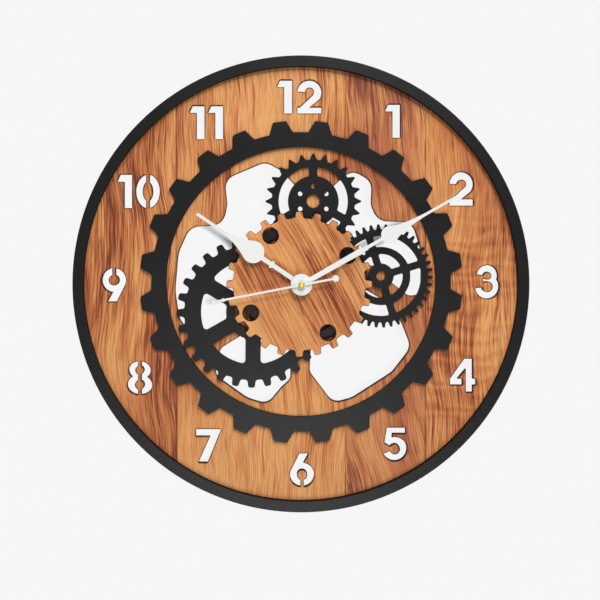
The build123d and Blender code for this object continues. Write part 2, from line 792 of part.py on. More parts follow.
def movement_front_case():
    """Open-backed case: battery bay below, wheel chamber above, bearings and posts on the front wall."""
    outside = box_between(-case_half_width, case_bottom, case_half_width, case_top)
    shell = layer(fillet(outside.vertices(), case_corner_round), 0, case_front)
    inner_round = case_corner_round - case_wall
    chamber = box_between(-bay_half_width, chamber_bottom, bay_half_width, chamber_top)
    bay = box_between(-bay_half_width, bay_bottom, bay_half_width, bay_top)
    for room in (chamber, bay):
        shell -= layer(fillet(room.vertices(), inner_round), 0, case_inner_front)
    lug = box_between(-hanger_width / 2, chamber_top, hanger_width / 2, case_top + hanger_height)
    lug = fillet(lug.vertices().sort_by(Axis.Y)[-2:], hanger_width / 3)
    hole = disc_at((0, case_top + hanger_height - hanger_hole_edge), hanger_hole_radius)
    shell += layer(lug - hole, 0, hanger_thickness)
    for point in cover_posts():
        shell += layer(disc_at(point, cover_post_radius), cover_thickness, case_inner_front)
    for axis in (intermediate_axis, rotor_axis, third_axis):
        shell += layer(disc_at(axis, bearing_radius), bearing_front, case_inner_front)
        bore = disc_at(axis, arbor_radius + running_fit)
        shell -= layer(bore, bearing_front, bearing_front + bearing_depth)
    minute_post = disc_at(minute_axis, minute_post_radius)
    shell += layer(minute_post, minute_wheel_back - layer_gap, case_inner_front)
    shell += layer(disc_at(knob_axis, knob_post_radius), knob_post_end(), case_inner_front)
    for point in core_ends():
        shell += layer(disc_at(point, stator_bar_width / 2), core_front, case_inner_front)
    for point in circuit_posts():
        shell += layer(disc_at(point, circuit_post_radius), circuit_front(), case_inner_front)
    return shell - layer(Circle(bush_radius + push_fit), case_inner_front, case_front)


def cover_posts():
    """Corner posts of the wheel chamber that the rear cover rests on."""
    side = bay_half_width - cover_post_radius
    low = chamber_bottom + cover_post_radius
    high = chamber_top - cover_post_radius
    return [(-side, low), (side, low), (-side, high), (side, high)]


def knob_post_end():
    return knob_recess + knob_thickness + layer_gap


def movement_rear_cover():
    """Flat cover of the wheel chamber, with the rear bearings and the hole for the setting knob."""
    side = bay_half_width - cover_fit
    plate = box_between(-side, chamber_bottom + cover_fit, side, chamber_top - cover_fit)
    plate = fillet(plate.vertices(), case_corner_round - case_wall)
    cover = layer(plate - disc_at(knob_axis, knob_radius + knob_hole_gap), 0, cover_thickness)
    arbors = [(centre_axis, second_arbor_radius), (intermediate_axis, arbor_radius)]
    arbors += [(rotor_axis, arbor_radius), (third_axis, arbor_radius)]
    for axis, radius in arbors:
        cover += layer(disc_at(axis, bearing_radius), cover_thickness, bearing_back)
        cover -= layer(disc_at(axis, radius + running_fit), bearing_back - bearing_depth, bearing_back)
    return cover


def threaded_bush():
    """Brass bush through the board and the gears, flanged inside the case."""
    tube = layer(Circle(bush_radius), case_inner_front, bush_front)
    tube += layer(Circle(bush_flange_radius), bush_flange_back, case_inner_front)
    return tube - layer(Circle(hour_tube_radius + running_fit), bush_flange_back, bush_front)


def rubber_washer():
    return layer(ring(washer_radius, bush_radius + push_fit), case_front, board_back)


def brass_washer():
    return layer(ring(brass_washer_radius, bush_radius + push_fit), centre_gear_front, brass_washer_front)


def hex_nut():
    hexagon = RegularPolygon(nut_across_flats / 2, 6, major_radius=False)
    return layer(hexagon - Circle(bush_radius + push_fit), brass_washer_front, nut_front)


def battery():
    """Round cell lying across the bay, its raised terminal to the right."""
    left = battery_end_fit - contact_reach
    from_end = (Align.CENTER, Align.CENTER, Align.MIN)
    can = Cylinder(battery_radius, battery_length, rotation=(0, 90, 0), align=from_end)
    can = fillet(can.edges(), battery_edge_round)
    nub = Cylinder(battery_nub_radius, battery_nub_length, rotation=(0, 90, 0), align=from_end)
    cell = can + Pos(battery_length, 0, 0) * nub
    return Pos(left, -battery_depth, bay_centre) * cell


def battery_contact(turn):
    """Sheet contact on an end wall of the bay, with a boss pressed out to meet the cell."""
    plate = Box(contact_thickness, contact_width, contact_width)
    plate = Pos(bay_half_width - contact_thickness / 2, 0, 0) * plate
    boss = Cylinder(contact_boss_radius, contact_boss_length, rotation=(0, 90, 0))
    boss = Pos(contact_reach + contact_boss_length / 2, 0, 0) * boss
    return Pos(0, -battery_depth, bay_centre) * Rot(0, 0, turn) * (plate + boss)


# Wheels: radial flanks below the pitch circle and tapered flanks above it


def gear_outline(teeth, module, first_angle):
    pitch_radius = teeth * module / 2
    root_radius = pitch_radius - dedendum * module
    tip_radius = pitch_radius + addendum * module
    pitch_half = tooth_share * pi * module / 2
    root_half = pitch_half * root_radius / pitch_radius
    tip_half = pitch_half - addendum * module * tan(radians(flank_angle))
    foot = sqrt(root_radius**2 - root_half**2)
    tooth = Polygon(
        (foot, -root_half), (pitch_radius, -pitch_half), (tip_radius, -tip_half), (tip_radius, tip_half),
        (pitch_radius, pitch_half), (foot, root_half),
        align=None,
    )
    return Circle(root_radius) + around(teeth, first_angle, tooth)


def tooth_towards(axis, other):
    """Angle that points a tooth from one axis to another."""
    return degrees(atan2(other[1] - axis[1], other[0] - axis[0]))


def gap_towards(axis, other, teeth):
    """Angle that points a gap between two teeth from one axis to another."""
    return tooth_towards(axis, other) + 180 / teeth


def rotor():
    pinion = gear_outline(rotor_pinion_teeth, rotor_module, tooth_towards(rotor_axis, intermediate_axis))
    body = layer(pinion, rotor_pinion_back, intermediate_wheel_front + pinion_overlap, rotor_axis)
    body += layer(Circle(magnet_radius), magnet_back, magnet_front, rotor_axis)
    return body + pivoted_arbor(rotor_axis)


def pivoted_arbor(axis):
    """Arbor between a bearing in the rear cover and one in the front wall."""
    back = bearing_back - bearing_depth + end_play
    return layer(Circle(arbor_radius), back, bearing_front + bearing_depth - end_play, axis)


def intermediate_wheel():
    wheel_phase = gap_towards(intermediate_axis, rotor_axis, rotor_wheel_teeth)
    wheel = gear_outline(rotor_wheel_teeth, rotor_module, wheel_phase)
    pinion_phase = tooth_towards(intermediate_axis, centre_axis)
    pinion = gear_outline(seconds_pinion_teeth, seconds_module, pinion_phase)
    body = layer(wheel, intermediate_wheel_back, intermediate_wheel_front, intermediate_axis)
    body += layer(pinion, intermediate_wheel_front, seconds_wheel_front + pinion_overlap, intermediate_axis)
    return body + pivoted_arbor(intermediate_axis)


def seconds_wheel():
    """Wheel, pinion and long arbor that carries the second hand through the middle of the clock."""
    wheel_phase = gap_towards(centre_axis, intermediate_axis, seconds_wheel_teeth)
    wheel = gear_outline(seconds_wheel_teeth, seconds_module, wheel_phase)
    pinion = gear_outline(third_pinion_teeth, third_module, tooth_towards(centre_axis, third_axis))
    body = layer(wheel, seconds_wheel_back, seconds_wheel_front)
    body += layer(pinion, seconds_wheel_front, third_wheel_front + pinion_overlap)
    arbor_back = bearing_back - bearing_depth + end_play
    arbor_front = second_hand_back + hand_thickness + pin_hole_depth - end_play
    return body + layer(Circle(second_arbor_radius), arbor_back, arbor_front)


def third_wheel():
    wheel_phase = gap_towards(third_axis, centre_axis, third_wheel_teeth)
    wheel = gear_outline(third_wheel_teeth, third_module, wheel_phase)
    pinion = gear_outline(centre_pinion_teeth, centre_module, tooth_towards(third_axis, centre_axis))
    body = layer(wheel, third_wheel_back, third_wheel_front, third_axis)
    body += layer(pinion, third_wheel_front, centre_wheel_front + pinion_overlap / 2, third_axis)
    return body + pivoted_arbor(third_axis)


def centre_wheel():
    """Wheel that drives the minute tube through a friction grip on its tail."""
    wheel_phase = gap_towards(centre_axis, third_axis, centre_wheel_teeth)
    wheel = gear_outline(centre_wheel_teeth, centre_module, wheel_phase)
    return layer(wheel - Circle(minute_tube_radius + running_fit), centre_wheel_back, centre_wheel_front)


def cannon_pinion():
    """Minute tube with the pinion that drives the minute wheel."""
    pinion = gear_outline(cannon_teeth, minute_module, tooth_towards(centre_axis, minute_axis))
    front = minute_hand_back + hand_thickness + tube_past_hand
    tube = layer(Circle(minute_tube_radius), cannon_back, front)
    tube += layer(pinion, minute_wheel_back - pinion_overlap, minute_wheel_front)
    return tube - layer(Circle(second_arbor_radius + running_fit), cannon_back, front)


def minute_wheel():
    wheel_phase = gap_towards(minute_axis, centre_axis, minute_wheel_teeth)
    wheel = gear_outline(minute_wheel_teeth, minute_module, wheel_phase)
    pinion = gear_outline(hour_pinion_teeth, hour_module, tooth_towards(minute_axis, centre_axis))
    body = layer(wheel, minute_wheel_back, minute_wheel_front, minute_axis)
    body += layer(pinion, minute_wheel_front, hour_wheel_front, minute_axis)
    bore = Circle(minute_post_radius + running_fit)
    return body - layer(bore, minute_wheel_back, hour_wheel_front, minute_axis)


def hour_wheel():
    """Wheel and tube that carry the hour hand."""
    wheel_phase = gap_towards(centre_axis, minute_axis, hour_wheel_teeth)
    wheel = gear_outline(hour_wheel_teeth, hour_module, wheel_phase)
    front = hour_hand_back + hand_thickness + tube_past_hand
    tube = layer(Circle(hour_tube_radius), hour_wheel_back, front)
    tube += layer(wheel, hour_wheel_back, hour_wheel_front)
    return tube - layer(Circle(minute_tube_radius + running_fit), hour_wheel_back, front)


def setting_knob():
    """Fluted knob in the back, geared to the minute wheel."""
    wheel_phase = gap_towards(minute_axis, centre_axis, minute_wheel_teeth)
    pitch = 360 / minute_wheel_teeth
    ahead = (tooth_towards(minute_axis, knob_axis) - wheel_phase) % pitch
    knob_phase = gap_towards(knob_axis, minute_axis, knob_pinion_teeth)
    knob_phase += ahead * minute_wheel_teeth / knob_pinion_teeth
    pinion = gear_outline(knob_pinion_teeth, minute_module, knob_phase)
    disc = Circle(knob_radius) - around(knob_flutes, 0, disc_at((knob_radius, 0), knob_flute_radius))
    front = knob_recess + knob_thickness
    body = layer(disc, knob_recess, front, knob_axis)
    bore_radius = knob_post_radius + running_fit
    body += layer(Circle(bore_radius + knob_stem_wall), front, minute_wheel_back, knob_axis)
    body += layer(pinion, minute_wheel_back, minute_wheel_front, knob_axis)
    return body - layer(Circle(bore_radius), front, minute_wheel_front, knob_axis)


# Stepping motor and circuit


def core_height():
    return rotor_axis[1] + coil_height_above_rotor


def core_ends():
    """Middles of the two joints between the stator legs and the coil core."""
    half = coil_span / 2 - stator_bar_width / 2
    return [(rotor_axis[0] - half, core_height()), (rotor_axis[0] + half, core_height())]


def stator():
    """Soft-iron plate: a lobe round the magnet and two legs up to the coil core."""
    half_bar = stator_bar_width / 2
    middle = rotor_axis[1] + stator_lobe_radius - half_bar
    (left, top), (right, top) = core_ends()
    plate = disc_at(rotor_axis, stator_lobe_radius)
    plate += box_between(left - half_bar, middle - half_bar, right + half_bar, middle + half_bar)
    for x in (left, right):
        plate += box_between(x - half_bar, middle - half_bar, x + half_bar, top + half_bar)
    return layer(plate - disc_at(rotor_axis, magnet_radius + stator_gap), stator_back, stator_front)


def coil_core():
    half_bar = stator_bar_width / 2
    (left, height), (right, height) = core_ends()
    bar = box_between(left - half_bar, height - half_bar, right + half_bar, height + half_bar)
    return layer(bar, stator_front, core_front)


def bobbin_ends():
    """Left and right ends of the bobbin, between the stator legs."""
    (left, height), (right, height) = core_ends()
    return left + stator_bar_width / 2 + bobbin_wall, right - stator_bar_width / 2 - bobbin_wall


def square_tube(left, right, outer, inner):
    """Length of rectangular tube round the coil core, given wall offsets from the core."""
    depth = (stator_front + core_front) / 2
    middle = ((left + right) / 2, -depth, core_height())
    tube = Box(right - left, stator_thickness + 2 * outer, stator_bar_width + 2 * outer)
    tube -= Box(right - left, stator_thickness + 2 * inner, stator_bar_width + 2 * inner)
    return Pos(*middle) * tube


def coil_bobbin():
    left, right = bobbin_ends()
    flange = (bobbin_flange_height - stator_bar_width) / 2
    tube = square_tube(left, right, bobbin_wall, push_fit)
    tube += square_tube(left, left + bobbin_flange_thickness, flange, push_fit)
    return tube + square_tube(right - bobbin_flange_thickness, right, flange, push_fit)


def coil_winding():
    left, right = bobbin_ends()
    inside = bobbin_flange_thickness + push_fit
    return square_tube(left + inside, right - inside, bobbin_wall + winding_build, bobbin_wall + push_fit)


def circuit_front():
    return core_front + layer_gap


def circuit_middle():
    left, height = core_ends()[0]
    right_edge = left - stator_bar_width / 2 - layer_gap
    return right_edge - circuit_width / 2, chamber_top - 2 * cover_post_radius - circuit_height / 2


def circuit_posts():
    x, z = circuit_middle()
    reach = circuit_width / 2 - circuit_post_radius
    return [(x - reach, z), (x + reach, z)]


def circuit_board():
    board = Pos(*circuit_middle()) * Rectangle(circuit_width, circuit_height)
    return layer(board, circuit_front() - circuit_thickness, circuit_front())


def quartz_crystal():
    x, z = circuit_middle()
    depth = circuit_front() - circuit_thickness - crystal_radius - push_fit
    can = Cylinder(crystal_radius, crystal_length, rotation=(0, 90, 0))
    can = fillet(can.edges(), 0.3 * crystal_radius)
    return Pos(x, -depth, z) * can


nodes = {
    "dial_board": dial_board(),
    "ring_gear": ring_gear(),
    "left_gear": left_gear(),
    "right_gear": right_gear(),
    "top_gear": top_gear(),
    "centre_spacer_ring": centre_spacer_ring(),
    "centre_gear": centre_gear(),
    "movement_front_case": movement_front_case(),
    "movement_rear_cover": movement_rear_cover(),
    "threaded_bush": threaded_bush(),
    "rubber_washer": rubber_washer(),
    "brass_washer": brass_washer(),
    "hex_nut": hex_nut(),
    "battery": battery(),
    "battery_contact_positive": battery_contact(0),
    "battery_contact_negative": battery_contact(180),
    "circuit_board": circuit_board(),
    "quartz_crystal": quartz_crystal(),
    "coil_core": coil_core(),
    "coil_bobbin": coil_bobbin(),
    "coil_winding": coil_winding(),
    "stator": stator(),
    "rotor": rotor(),
    "intermediate_wheel": intermediate_wheel(),
    "seconds_wheel": seconds_wheel(),
    "third_wheel": third_wheel(),
    "centre_wheel": centre_wheel(),
    "cannon_pinion": cannon_pinion(),
    "minute_wheel": minute_wheel(),
    "hour_wheel": hour_wheel(),
    "setting_knob": setting_knob(),
    "hour_hand": hour_hand(),
    "minute_hand": minute_hand(),
    "second_hand": second_hand(),
    "second_hand_pin": second_hand_pin(),
}
for index in range(rim_segments):
    nodes[f"rim_segment_{index + 1}"] = rim_segment(index)

os.makedirs("parts", exist_ok=True)
for name, shape in nodes.items():
    export_step(shape, f"parts/{name}.step")
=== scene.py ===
from math import pi, radians

import bpy
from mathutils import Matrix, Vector


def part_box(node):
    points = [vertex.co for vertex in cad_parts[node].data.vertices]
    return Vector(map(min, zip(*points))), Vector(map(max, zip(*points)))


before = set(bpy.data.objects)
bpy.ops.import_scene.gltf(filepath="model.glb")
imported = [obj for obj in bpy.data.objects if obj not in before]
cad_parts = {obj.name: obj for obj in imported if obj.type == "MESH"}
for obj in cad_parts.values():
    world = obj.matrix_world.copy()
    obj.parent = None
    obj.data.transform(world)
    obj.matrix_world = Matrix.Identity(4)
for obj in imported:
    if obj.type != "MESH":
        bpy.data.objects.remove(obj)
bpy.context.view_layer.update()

# View: square on to the dial, from a little above and to the left of its middle. The shift brings the clock
# back to its place in the picture.
camera_place = (-0.022, -0.750, 0.036)
camera_lens = 66.55
camera_sensor = 36.0
camera_shift = (0.0547, -0.1189)

# Lamps: place, the point each is turned to, power in watts and width in metres. The key is above and a little
# to the right, two lamps fill from overhead and from below, and one lights the back.
lamps = {
    "key": ((0.23, -1.42, 0.72), (0, 0, 0), 10.2, 0.26),
    "top": ((0.15, -1.1, 1.10), (0, 0, 0), 8.0, 0.7),
    "low_fill": ((0.0, -1.5, -0.5), (0, 0, -0.05), 5.8, 0.5),
    "back": ((-0.5, 1.5, 0.9), (0, 0, 0), 16.0, 1.2),
}
surround_strength = 0.20

# Wall and floor: pale and plain. Two suns light the wall alone: the hands block the first, every piece blocks
# the second, and the rest of the wall's brightness is its own.
wall_depth = 0.0006
wall_reach = 2.0
wall_top = 1.6
floor_level = -0.6
wall_white = 0.9216
wall_reflects = 0.04
wall_hands_light = 0.66
wall_clock_light = 0.03
wall_light_place = (0.13, -1.0, 0.055)
soft_shadow_angle = radians(7.0)
hands = ["hour_hand", "minute_hand", "second_hand"]

# Planks of the dial: left edge in millimetres, how red the wood is, its own grain offset, and how strong its
# flame figure is. One plank has a leaning, pinker grain.
planks = [
    (-150.0, 0.47, 0.13, 0.0),
    (-81.6, 0.20, 0.37, 0.0),
    (29.4, 0.42, 0.61, 0.0),
    (82.0, 0.25, 0.83, 0.9),
    (131.0, 0.32, 0.97, 0.6),
]
dial_edge = 150.0
plank_wave = 22.0
plank_run = 1.0
plank_vein = (0.75, 0.06)
leaning_plank = 2
leaning_slope = 0.14
leaning_pink = (0.15, (0.40, 0.165, 0.115))
plank_join = 0.2
flame_rate = 0.11
flame_sway = 2.6
flame_sway_scale = (0.030, 0.0, 0.06)
flame_depth = 0.11
flame_span = (-115.0, -70.0, 20.0, 60.0)
plank_pores = (0.40, (0.24, 0.08, 0.036))
plank_roughness = (0.22, 0.36)
seam_width = (0.8, 0.2)
seam_fade_scale = (0.02, 0.0, 0.03)
seam_colour = (0.12, 0.032, 0.020)
seam_depth = -2.0

# Shade on the dial: a margin along the rim, and the wood that the centre gear keeps from the light.
rim_inside = 142.1
margin_width = 4.0
margin_shade = (0.20, (0.17, 0.050, 0.024))
covered_radius = (46.5, 44.0)
covered_shade = (0.72, (0.085, 0.024, 0.012))

# Centre gear: bands across the grain, each with its distance in millimetres and how red the wood is there,
# and a darker patch left of the hands' axis: partly darker wood, partly a painted shadow of the hands.
gear_bands = [
    (-45, 0.10), (-36, 0.12), (-31, 0.34), (-24, 0.44), (-17, 0.16), (-5, 0.06), (5, 0.12), (10, 0.22),
    (15, 0.24), (22, 0.22), (27, 0.12), (33, 0.28), (40, 0.18),
]
gear_edge = 50.0
gear_grain = (0.469, -0.883)
gear_wander_scale = (0.03, 0.0, 0.03)
gear_wander = 16.0
dark_wood_and_shadow_place = (-25.0, 5.0)
dark_wood_and_shadow_size = (25.0, 12.0)
dark_wood_and_shadow_tone = 0.34
dark_wood_and_shadow_wander = 8.0
gear_seed = 0.21
gear_tone = -0.07
gear_wave = 13.0
gear_run = 1.5
gear_vein = 0.46
gear_pores = (0.50, (0.20, 0.075, 0.038))
gear_roughness = (0.20, 0.34)

# Wood: colours from pale amber to dark red-brown, and the grain's noises, with their scale across the grain,
# along it and from plank to plank.
wood_colours = [
    (0.00, (0.790, 0.374, 0.138)),
    (0.25, (0.680, 0.280, 0.096)),
    (0.50, (0.550, 0.182, 0.063)),
    (0.75, (0.360, 0.098, 0.037)),
    (1.00, (0.170, 0.040, 0.018)),
]
bend_scale = (0.008, 0.013, 30.0)
drift_scale = (0.024, 0.010, 40.0)
drift_depth = 1.45
streak_scale = (0.15, 0.011, 60.0)
streak_depth = 1.1
fine_scale = (1.15, 0.034, 80.0)
fine_depth = 1.6
vein_scale = (0.30, 0.014, 70.0)
vein_width = (0.026, 0.006)
pore_scale = (2.6, 0.07, 90.0)
lively_scale = (0.018, 0.012, 50.0)
lively_range = (0.40, 1.40)
wood_specular = 0.12
wood_relief = 0.00010

# Cut edges are burnt, with smoke on the face beside them, in metres. The back is bare board with stains.
board_scorch = 0.0017
gear_scorch = 0.0009
scorch_scale = (0.5, 0.9, 0.5)
smoke_colour = (0.022, 0.009, 0.006)
burnt_colours = [(0.3, (0.006, 0.004, 0.003)), (0.75, (0.030, 0.014, 0.008))]
fibre_scale = (1.4, 1.4, 1.4)
back_colours = [(0.3, (0.25, 0.155, 0.085)), (0.7, (0.42, 0.275, 0.155))]
stain_scale = (0.022, 0.022, 0.035)
stain_colour = (0.17, 0.100, 0.055)
stain_strength = 0.45

# Cell: where each colour of the jacket and each bare end begins, as a share of its length.
steel = (0.60, 0.60, 0.58)
battery_bands = [
    (0.0, steel),
    (0.022, (0.030, 0.060, 0.105)),
    (0.66, (0.70, 0.71, 0.70)),
    (0.68, (0.16, 0.30, 0.36)),
    (0.955, steel),
]
battery_metal = [(0.0, (1, 1, 1)), (0.022, (0, 0, 0)), (0.955, (1, 1, 1))]
scuff_scale = (0.25, 2.5, 2.5)
scuff_colour = (0.45, 0.46, 0.47)
scuff_strength = 0.22
scuff_roughness = (0.30, 0.16)
scuff_depth = 0.00002

# Paints, plastics, rubber and metals: darkest and lightest colour, roughness, grain per millimetre, and the
# depth of the grain and the easing of the edges in metres. All have slow clouds of tone and paler edges that
# are partly wear and partly a painted highlight; the black paint's cut walls carry painted shade.
cloud_scale = (0.05, 0.05, 0.05)
grit_tone = 0.35
grit_roughness = 0.25
wear_and_edge_highlight_range = (0.05, 0.45)
# Colour that the black paint's cut walls are mixed towards: painted shade.
black = (0.0, 0.0, 0.0)
coats = {
    "black_paint": dict(
        dark=(0.0035, 0.0032, 0.0035), light=(0.007, 0.0064, 0.0068), roughness=0.32, grain=1.3,
        depth=0.00004, ease=0.00022, specular=0.14, walls_painted_shade_and_dull=0.7,
    ),
    "case_plastic": dict(
        dark=(0.016, 0.016, 0.017), light=(0.030, 0.030, 0.032), roughness=0.55, grain=4.0,
        depth=0.00006, ease=0.0003,
    ),
    "knob_plastic": dict(
        dark=(0.70, 0.69, 0.64), light=(0.78, 0.77, 0.73), roughness=0.45, grain=3.0,
        depth=0.00003, ease=0.0002,
    ),
    "train_plastic": dict(
        dark=(0.66, 0.64, 0.56), light=(0.75, 0.73, 0.66), roughness=0.40, grain=4.0,
        depth=0.00002, ease=0.0001,
    ),
    "brass": dict(
        dark=(0.66, 0.46, 0.16), light=(0.80, 0.60, 0.25), roughness=0.30, grain=2.4,
        depth=0.00002, ease=0.0002, metallic=1.0,
    ),
    "rubber": dict(
        dark=(0.030, 0.030, 0.030), light=(0.050, 0.050, 0.050), roughness=0.75, grain=3.0,
        depth=0.00004, ease=0.0002,
    ),
    "plated_steel": dict(
        dark=(0.54, 0.54, 0.52), light=(0.66, 0.66, 0.64), roughness=0.28, grain=3.0,
        depth=0.00002, ease=0.0001, metallic=1.0,
    ),
    "circuit": dict(
        dark=(0.020, 0.110, 0.045), light=(0.050, 0.230, 0.095), roughness=0.40, grain=2.0,
        depth=0.00003, ease=0.0001,
    ),
    "copper_wire": dict(
        dark=(0.48, 0.19, 0.08), light=(0.64, 0.29, 0.13), roughness=0.30, grain=6.0,
        depth=0.00008, ease=0.0001, metallic=1.0,
    ),
    "white_paint": dict(
        dark=(0.78, 0.795, 0.78), light=(0.84, 0.85, 0.835), roughness=0.42, grain=2.2,
        depth=0.00003, ease=0.00025, specular=0.20,
    ),
    "gold": dict(
        dark=(0.40, 0.33, 0.048), light=(0.50, 0.43, 0.088), roughness=0.30, grain=4.0,
        depth=0.00001, ease=0.0002, metallic=1.0,
    ),
}

finishes = {
    "plank_wood": ["dial_board"],
    "gear_wood": ["centre_gear"],
    "black_paint": [
        "ring_gear", "left_gear", "right_gear", "top_gear", "centre_spacer_ring",
        "rim_segment_1", "rim_segment_2", "rim_segment_3", "rim_segment_4",
    ],
    "case_plastic": ["movement_front_case", "movement_rear_cover"],
    "knob_plastic": ["setting_knob"],
    "train_plastic": [
        "coil_bobbin", "intermediate_wheel", "seconds_wheel", "third_wheel", "centre_wheel",
        "cannon_pinion", "minute_wheel", "hour_wheel",
    ],
    "brass": ["threaded_bush", "brass_washer", "hex_nut"],
    "rubber": ["rubber_washer"],
    "battery_jacket": ["battery"],
    "plated_steel": [
        "battery_contact_positive", "battery_contact_negative", "quartz_crystal",
        "coil_core", "stator", "rotor",
    ],
    "circuit": ["circuit_board"],
    "copper_wire": ["coil_winding"],
    "white_paint": hands,
    "gold": ["second_hand_pin"],
}


class Shader:
    """Node tree of one material, written as nested calls."""

    def __init__(self, name):
        self.material = bpy.data.materials.new(name)
        self.material.use_nodes = True
        self.tree = self.material.node_tree
        self.surface = self.tree.nodes["Principled BSDF"]

    def add(self, kind, **settings):
        node = self.tree.nodes.new("ShaderNode" + kind)
        for name, value in settings.items():
            setattr(node, name, value)
        return node

    def put(self, socket, value):
        if isinstance(value, bpy.types.NodeSocket):
            self.tree.links.new(value, socket)
        elif isinstance(value, tuple) and len(value) == 3 and socket.type == "RGBA":
            socket.default_value = (*value, 1.0)
        else:
            socket.default_value = value

    def math(self, operation, *values):
        node = self.add("Math", operation=operation)
        for socket, value in zip(node.inputs, values):
            self.put(socket, value)
        return node.outputs[0]

    def plus(self, first, second):
        return self.math("ADD", first, second)

    def times(self, first, second):
        return self.math("MULTIPLY", first, second)

    def line(self, value, slope, start):
        return self.math("MULTIPLY_ADD", value, slope, start)

    def about(self, value, amount):
        """A noise value, about its middle of a half and scaled."""
        return self.line(value, amount, -amount / 2)

    def step(self, value, start, end, low=0.0, high=1.0):
        """Smooth change from low to high while a value goes from start to end."""
        node = self.add("MapRange", interpolation_type="SMOOTHSTEP")
        for name, number in (("From Min", start), ("From Max", end), ("To Min", low), ("To Max", high)):
            node.inputs[name].default_value = number
        self.put(node.inputs["Value"], value)
        return node.outputs["Result"]

    def mix(self, factor, first, second):
        node = self.add("Mix", data_type="RGBA")
        self.put(node.inputs[0], factor)
        self.put(node.inputs[6], first)
        self.put(node.inputs[7], second)
        return node.outputs[2]

    def tint(self, mask, first, amount_and_colour):
        """A colour laid over another one, where the mask is, by an amount."""
        amount, colour = amount_and_colour
        return self.mix(self.times(mask, amount), first, colour)

    def join(self, x, y, z):
        node = self.add("CombineXYZ")
        for socket, value in zip(node.inputs, (x, y, z)):
            self.put(socket, value)
        return node.outputs[0]

    def split(self, vector):
        node = self.add("SeparateXYZ")
        self.put(node.inputs[0], vector)
        return node.outputs

    def stretch(self, vector, factors):
        node = self.add("VectorMath", operation="MULTIPLY")
        self.put(node.inputs[0], vector)
        node.inputs[1].default_value = factors
        return node.outputs[0]

    def noise(self, place, scale, detail=2.0, roughness=0.5):
        node = self.add("TexNoise")
        self.put(node.inputs["Vector"], self.stretch(place, scale))
        node.inputs["Scale"].default_value = 1.0
        node.inputs["Detail"].default_value = detail
        node.inputs["Roughness"].default_value = roughness
        return node.outputs["Fac"]

    def ramp(self, value, stops, interpolation="LINEAR"):
        node = self.add("ValToRGB")
        node.color_ramp.interpolation = interpolation
        elements = node.color_ramp.elements
        while len(elements) < len(stops):
            elements.new(1.0)
        for element, (place, colour) in zip(elements, stops):
            element.position = place
            element.color = (*colour, 1.0)
        self.put(node.inputs[0], value)
        return node.outputs[0]

    def millimetres(self):
        """Place in the clock's own frame, in millimetres."""
        return self.stretch(self.add("TexCoord").outputs["Object"], (1000, 1000, 1000))

    def facing(self):
        """How far a surface faces the wall: -1 on a front face, 0 on a cut edge, 1 on a back face."""
        return self.split(self.add("NewGeometry").outputs["Normal"])[1]

    def cut_wall(self, facing):
        """1 on a cut edge, 0 on a front or back face."""
        return self.step(self.math("ABSOLUTE", facing), 0.75, 0.45)

    def soft_edges(self, radius, samples=4):
        """Surface direction with the sharp edges eased."""
        node = self.add("Bevel", samples=samples)
        node.inputs["Radius"].default_value = radius
        return node.outputs[0]

    def near_edge(self, radius):
        """1 along the sharp edges, 0 farther in than the radius."""
        even = self.add("VectorMath", operation="DOT_PRODUCT")
        self.put(even.inputs[0], self.soft_edges(radius, samples=8))
        self.put(even.inputs[1], self.add("NewGeometry").outputs["Normal"])
        return self.step(even.outputs["Value"], 0.998, 0.93)

    def bump(self, height, depth, normal=None):
        node = self.add("Bump")
        node.inputs["Strength"].default_value = 1.0
        node.inputs["Distance"].default_value = depth
        self.put(node.inputs["Height"], height)
        if normal is not None:
            self.put(node.inputs["Normal"], normal)
        self.put(self.surface.inputs["Normal"], node.outputs[0])

    def set(self, **sockets):
        for name, value in sockets.items():
            self.put(self.surface.inputs[name.replace("_", " ")], value)


def wood_grain(shader, across, along, seed, tone, wave, run, vein):
    """Redness and relief of planed wood: drift, streaks and veins that wave by some millimetres, and pores.

    A run above 1 draws the figure out along the grain, and vein is how dark the veins are.
    """
    place = shader.join(across, shader.times(along, 1 / run), seed)
    bend = shader.about(shader.noise(place, bend_scale, detail=1.2), wave)
    place = shader.join(shader.plus(across, bend), shader.times(along, 1 / run), seed)
    drift = shader.noise(place, drift_scale, detail=3.0)
    streaks = shader.noise(place, streak_scale, detail=4.0, roughness=0.62)
    fine = shader.noise(place, fine_scale, detail=1.0)
    lively = shader.step(shader.noise(place, lively_scale), 0.38, 0.62, *lively_range)
    paths = shader.noise(place, vein_scale, detail=2.5, roughness=0.6)
    veins = shader.step(shader.math("ABSOLUTE", shader.plus(paths, -0.5)), *vein_width)
    veins = shader.times(veins, shader.step(drift, 0.36, 0.62, 0.15, 1.0))
    pores = shader.step(shader.noise(place, pore_scale, detail=1.5), 0.52, 0.70)
    lines = shader.plus(shader.about(streaks, streak_depth), shader.about(fine, fine_depth))
    redness = shader.plus(tone, shader.about(drift, drift_depth))
    redness = shader.plus(redness, shader.times(lines, lively))
    redness = shader.plus(redness, shader.times(veins, vein))
    relief = shader.plus(shader.times(fine, 0.5), shader.times(pores, -1.0))
    return redness, pores, relief, fine


def edge_and_back(shader, front_colour, place, scorch_reach):
    """Adds the scorched cut edges and the pale brown back of a board to the colour of its front."""
    facing = shader.facing()
    scorch = shader.noise(place, scorch_scale, detail=3.0)
    smoke = shader.times(shader.near_edge(scorch_reach), shader.step(scorch, 0.25, 0.6, 0.70, 1.0))
    front_colour = shader.mix(smoke, front_colour, smoke_colour)
    fibres = shader.noise(place, fibre_scale, detail=4.0, roughness=0.7)
    stain = shader.noise(place, stain_scale, detail=5.0, roughness=0.65)
    stain = shader.step(stain, 0.40, 0.68, 0.0, stain_strength)
    back_colour = shader.mix(stain, shader.ramp(fibres, back_colours), stain_colour)
    colour = shader.mix(shader.step(facing, 0.3, 0.7), front_colour, back_colour)
    edge = shader.cut_wall(facing)
    return shader.mix(edge, colour, shader.ramp(scorch, burnt_colours)), edge


